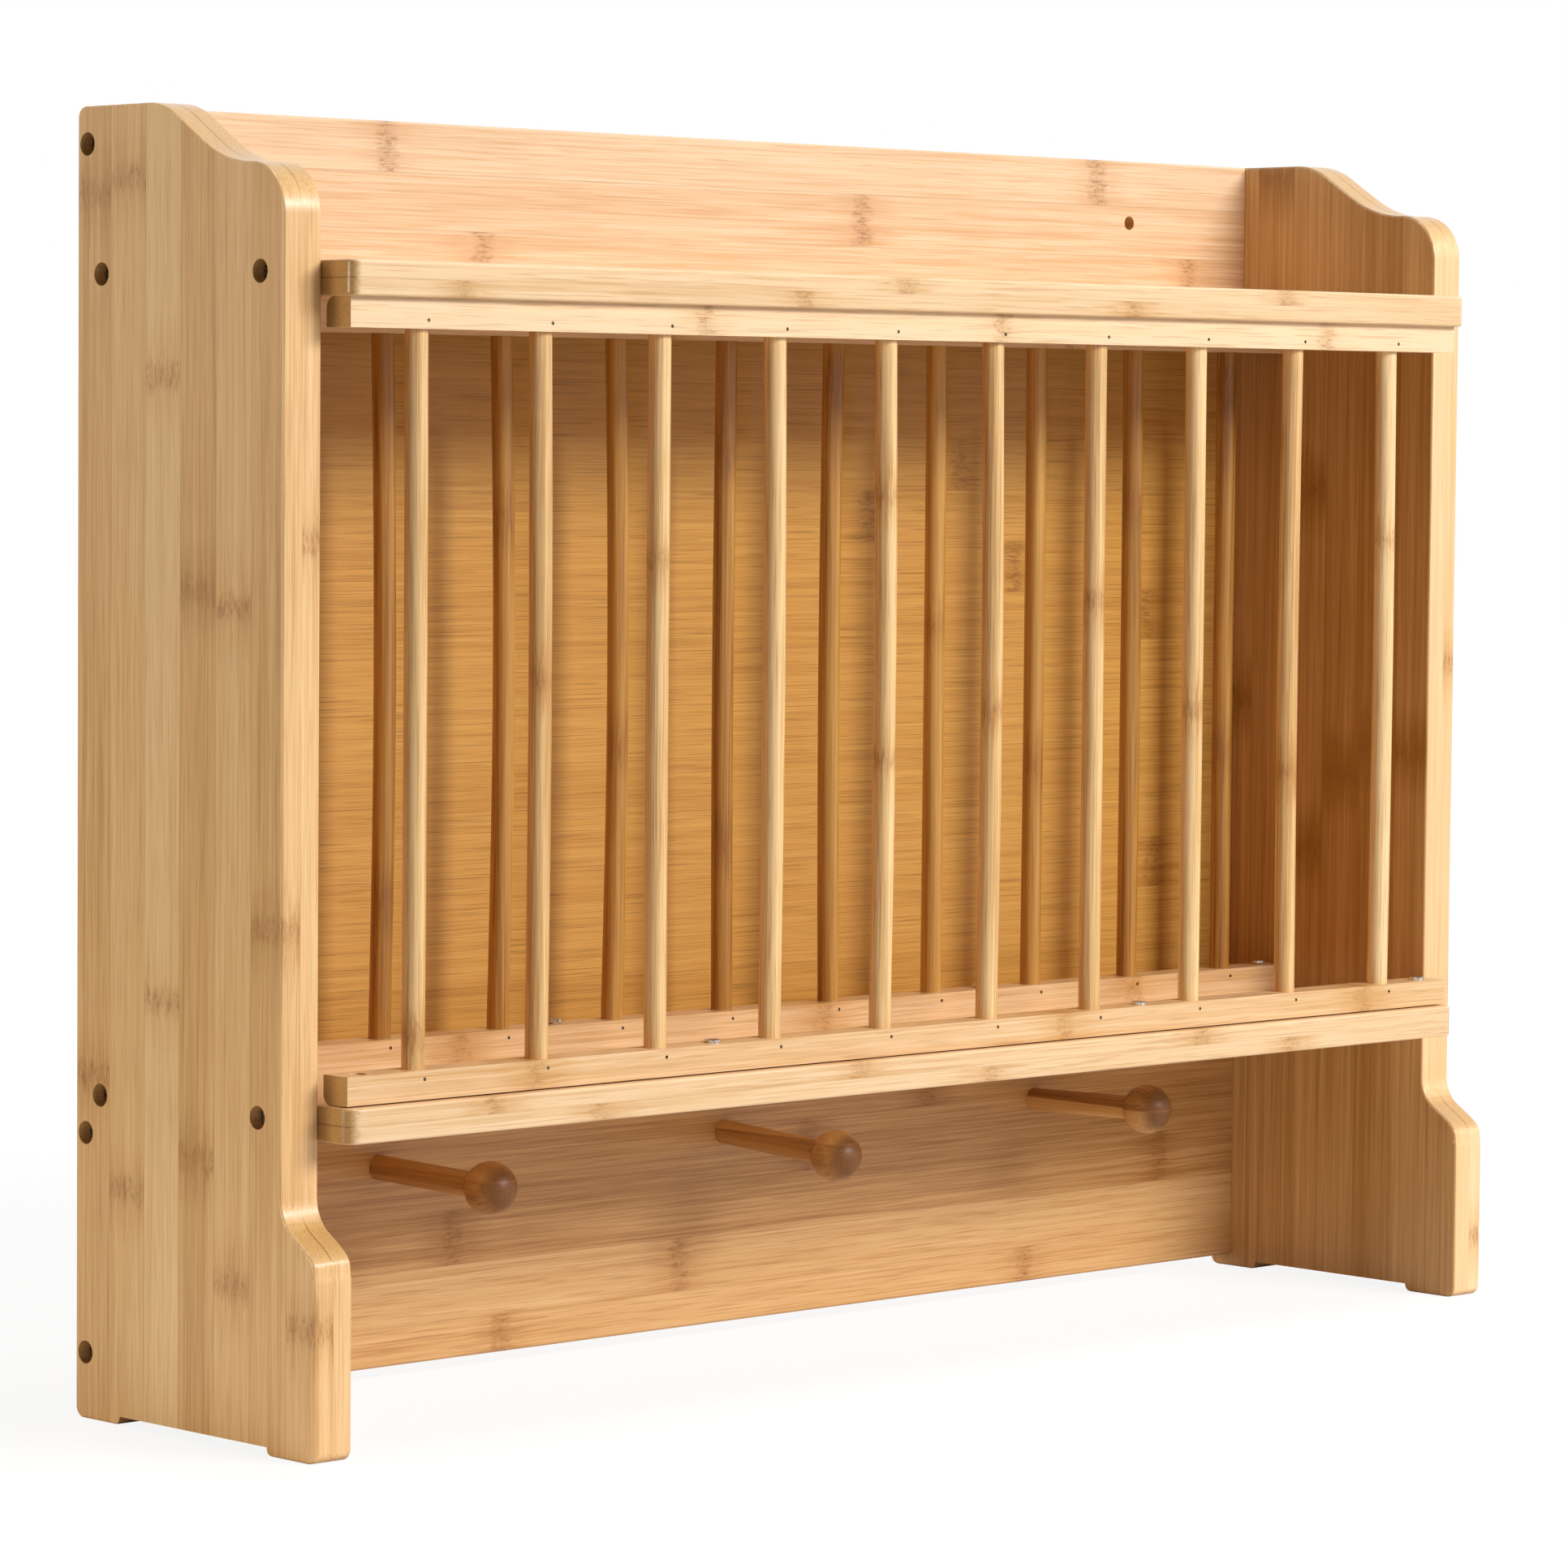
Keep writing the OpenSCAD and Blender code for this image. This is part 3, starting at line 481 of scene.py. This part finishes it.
def bowedRod(nodeName, x, y, bow, material):
    bm = bmesh.new()
    bottom = bmesh.ops.create_circle(bm, cap_ends=True, segments=dowels["segments"],
                                     radius=dowels["radius"],
                                     matrix=Matrix.Translation((x, y, dowels["low"])))
    top = bottom["verts"][0].link_faces[0]
    stepHeight = (dowels["high"] - dowels["low"]) / dowels["steps"]
    for step in range(dowels["steps"]):
        grown = bmesh.ops.extrude_face_region(bm, geom=[top], use_keep_orig=step == 0)["geom"]
        ring = [g for g in grown if isinstance(g, bmesh.types.BMVert)]
        bmesh.ops.translate(bm, verts=ring, vec=(0, 0, stepHeight))
        top = [g for g in grown if isinstance(g, bmesh.types.BMFace)][0]
    for vert in bm.verts:
        share = (vert.co.z - dowels["railLow"]) / (dowels["railHigh"] - dowels["railLow"])
        vert.co.x += 0.001 * bow * math.sin(math.pi * min(1, max(0, share)))
    bmesh.ops.recalc_face_normals(bm, faces=bm.faces)
    for face in bm.faces:
        face.smooth = True
    for edge in bm.edges:
        edge.smooth = edge.calc_face_angle(0) < math.radians(dowels["sharp"])
    mesh = bpy.data.meshes.new(nodeName + "_rod")
    bm.to_mesh(mesh)
    bm.free()
    mesh.materials.append(material)
    rod = bpy.data.objects.new(nodeName + "_rod", mesh)
    scene.collection.objects.link(rod)
    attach(rod, "root")
    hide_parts(nodeName)


rodLay = {"grain": "Z", "across": "X", "strip": 55, "layer": 80, "strips": 10, "layers": 1,
          "start": (-275, -80, 90), "reach": 340}
rodLook = dict(bamboo, fibre=0.7, knuckle=4.0, pale="#FBDAA4", warm="#EEC486", deep="#CB9655",
               dash="#A8682F", streaks=0.70, lines=0.50, coat=0.60, rough=0.34)
# rear rods: a darker copy of the front rods' colours, painted shade for the shade behind the front rods
# and under the top shelf
shadedRearRodLook = dict(rodLook, pale="#D6A352", warm="#B98338", deep="#8C5A20")
frontMarks = {(0, 0): [137.5], (1, 0): [256.9], (2, 0): [296.4], (4, 0): [223.9, 319], (5, 0): [239.7],
              (6, 0): [279.7], (7, 0): [238], (8, 0): [212.1], (9, 0): [301.5]}
rearMarks = {(1, 0): [174.3], (2, 0): [310.4], (3, 0): [228], (4, 0): [188.8, 334.8], (5, 0): [360.8],
             (6, 0): [268.7], (7, 0): [213.2], (8, 0): [314.3], (9, 0): [214.8, 360.9]}
frontRod = bambooMaterial("turnedBambooFrontRod", rodLook, rodLay, frontMarks, seed=181.0)
shadedRearRod = bambooMaterial("turnedBambooRearRodPaintedShade", shadedRearRodLook, dict(rodLay, start=(-275, 0, 90)),
                         rearMarks, seed=197.0)
for number in range(dowels["count"]):
    rodX = dowels["firstX"] + dowels["pitch"] * number
    for row, rodBamboo in (("front", frontRod), ("rear", shadedRearRod)):
        bowedRod("%s_dowel_%02d" % (row, number + 1), rodX, dowels[row + "Y"],
                 dowels[row + "Bow"][number], rodBamboo)
print("dowels finished")

# cup pegs: the grain runs along them, so the front of each ball shows dark cut ends; their colours are
# also darkened as painted shade under the bottom shelf
pegLay = {"grain": "Y", "across": "X", "strip": 170, "layer": 80, "strips": 3, "layers": 2,
          "start": (-260, -30, -1), "reach": 200}
pegLookEndsAndShade = dict(bamboo, pale="#D8A464", warm="#BC8446", deep="#8A5826", end="#7C4E22", pore="#4A280C",
               fibre=0.8, toneSpread=0.45, plyLine=0.25, coat=0.08, rough=0.46)
pegBambooEndsAndShade = bambooMaterial("turnedBambooPegEndsAndShade", pegLookEndsAndShade, pegLay, {}, seed=211.0)
for pegName in ("left_peg", "middle_peg", "right_peg"):
    finishedCopy(pegName, pegBambooEndsAndShade)
print("pegs finished")

# zinc plated and blackened screw steel: slightly cloudy plating over turned heads; cloud size in mm
zincPlate = {"dull": "#C4C1BB", "bright": "#F0EEEA", "rough": (0.14, 0.34), "cloud": 1.1}
blackPlate = {"dull": "#4A4636", "bright": "#8C8670", "rough": (0.22, 0.42), "cloud": 0.9}


def platedSteel(name, look):
    material, tree = emptyMaterial(name)
    spot = addNode(tree, "ShaderNodeTexCoord", out="Object")
    cloud = addNode(tree, "ShaderNodeTexNoise", {
        "Vector": spot, "Scale": 1000 / look["cloud"], "Detail": 3.0})
    colour = setStops(addNode(tree, "ShaderNodeValToRGB", [cloud]), [
        (0.35, linearColour(look["dull"])), (0.65, linearColour(look["bright"]))])
    rough = addNode(tree, "ShaderNodeMapRange", [cloud, 0.3, 0.7, *look["rough"]])
    shader = addNode(tree, "ShaderNodeBsdfPrincipled", {
        "Base Color": colour, "Metallic": 1.0, "Roughness": rough})
    addNode(tree, "ShaderNodeOutputMaterial", {"Surface": shader})
    return material


zincSteel = platedSteel("zincPlatedSteel", zincPlate)
blackSteel = platedSteel("blackenedSteel", blackPlate)
fasteners = {
    "left_side_screws": blackSteel,
    "right_side_screws": blackSteel,
    "front_rail_brads": blackSteel,
    "rear_rail_brads": blackSteel,
    "bottom_rail_screws": zincSteel,
    "top_rail_screws": zincSteel,
}
for screwName, steel in fasteners.items():
    nodes[screwName].data.materials.clear()
    nodes[screwName].data.materials.append(steel)
print("metal finished")

# a pale floor, a dim room and soft lamps; places and sizes in metres, power in watts
studio = {
    "floorSize": 14.0,
    "worldLight": 0.07,
    "paperWhite": "#F9F9F9",
    "paperNear": 0.86,      # floor brightness for light that bounces off it, near and far
    "paperFar": 0.34,
    "whiteNear": 0.86,      # share of plain white that the camera sees in the floor near the rack
    "whiteGlow": 1.03,
    "nearReach": 0.30,
    "farReach": 1.15,
    "aim": (0, 0, 0.22),
}
lamps = {
    "keyLamp": {"place": (0.95, -2.55, 1.52), "power": 89.5, "size": (1.8, 1.0), "colour": (1, 1, 1)},
    "sideLamp": {"place": (-3.2, 0.95, 0.30), "power": 40.5, "size": (0.9, 0.9),
                 "colour": (1.0, 0.875, 0.64)},
    "topLamp": {"place": (0.0, -0.2, 2.6), "power": 22.0, "size": (1.4, 0.8), "colour": (1, 1, 1)},
    "backLamp": {"place": (0.8, 2.9, 1.3), "power": 30.0, "size": (1.6, 1.0), "colour": (1, 1, 1)},
}

# the camera and reflections see plain white around the rack, and only a little of it lights the wood
world = bpy.data.worlds.new("studio")
scene.world = world
world.use_nodes = True
tree = world.node_tree
tree.nodes.clear()
path = addNode(tree, "ShaderNodeLightPath").node
seen = addNode(tree, "ShaderNodeMath", [path.outputs["Is Camera Ray"], path.outputs["Is Glossy Ray"]],
               operation="MAXIMUM")
seen = addNode(tree, "ShaderNodeMath", [seen, path.outputs["Is Transmission Ray"]], operation="MAXIMUM")
strength = addNode(tree, "ShaderNodeMapRange", [seen, 0.0, 1.0, studio["worldLight"], 1.0])
glow = addNode(tree, "ShaderNodeBackground", {"Color": (1, 1, 1, 1), "Strength": strength})
addNode(tree, "ShaderNodeOutputWorld", {"Surface": glow})

bm = bmesh.new()
bmesh.ops.create_grid(bm, x_segments=1, y_segments=1, size=studio["floorSize"] / 2)
floorMesh = bpy.data.meshes.new("floor")
bm.to_mesh(floorMesh)
bm.free()
floor = bpy.data.objects.new("floor", floorMesh)
scene.collection.objects.link(floor)

# matt white paper: a plain pale floor that melts into the white, with the rack's soft shadow on it
whitePaper, tree = emptyMaterial("whitePaper")
path = addNode(tree, "ShaderNodeLightPath").node
middle = addNode(tree, "ShaderNodeTexCoord", out="Object")
middle = addNode(tree, "ShaderNodeVectorMath", [middle], out="Value", operation="LENGTH")
plain = addNode(tree, "ShaderNodeMapRange", [
    middle, studio["nearReach"], studio["farReach"], studio["whiteNear"], 1.0],
    interpolation_type="SMOOTHSTEP")
bounce = addNode(tree, "ShaderNodeMapRange", [
    middle, studio["nearReach"], studio["farReach"], studio["paperNear"], studio["paperFar"]],
    interpolation_type="SMOOTHSTEP")
paper = addNode(tree, "ShaderNodeBsdfDiffuse", {"Color": bounce})
lit = addNode(tree, "ShaderNodeBsdfDiffuse", {"Color": linearColour(studio["paperWhite"])})
white = addNode(tree, "ShaderNodeEmission", {
    "Color": linearColour("#FFFFFF"), "Strength": studio["whiteGlow"]})
shown = addNode(tree, "ShaderNodeMixShader", [plain, lit, white])
surface = addNode(tree, "ShaderNodeMixShader", [path.outputs["Is Camera Ray"], paper, shown])
addNode(tree, "ShaderNodeOutputMaterial", {"Surface": surface})
floorMesh.materials.append(whitePaper)

for lampName, setting in lamps.items():
    lamp = bpy.data.lights.new(lampName, "AREA")
    lamp.energy = setting["power"]
    lamp.color = setting["colour"]
    lamp.shape = "ELLIPSE"
    lamp.size, lamp.size_y = setting["size"]
    holder = bpy.data.objects.new(lampName, lamp)
    holder.location = setting["place"]
    towards = Vector(studio["aim"]) - Vector(setting["place"])
    holder.rotation_euler = towards.to_track_quat("-Z", "Y").to_euler()
    scene.collection.objects.link(holder)

# the camera stands where the photograph was taken from
view = {
    "place": (-1.52220, -1.56390, 0.34280),
    "turn": (86.5482, -0.5086, -43.7150),    # degrees
    "lens": 135.640,        # millimetres, as is the sensor
    "sensor": 36.0,
    "nearClip": 0.05,
    "farClip": 50.0,
}
camera = bpy.data.cameras.new("camera")
camera.lens = view["lens"]
camera.sensor_width = view["sensor"]
camera.clip_start = view["nearClip"]
camera.clip_end = view["farClip"]
cameraHolder = bpy.data.objects.new("camera", camera)
cameraHolder.location = view["place"]
cameraHolder.rotation_euler = [math.radians(a) for a in view["turn"]]
scene.collection.objects.link(cameraHolder)
scene.camera = cameraHolder
scene.view_settings.view_transform = "Standard"
print("stage, lamps and camera ready")
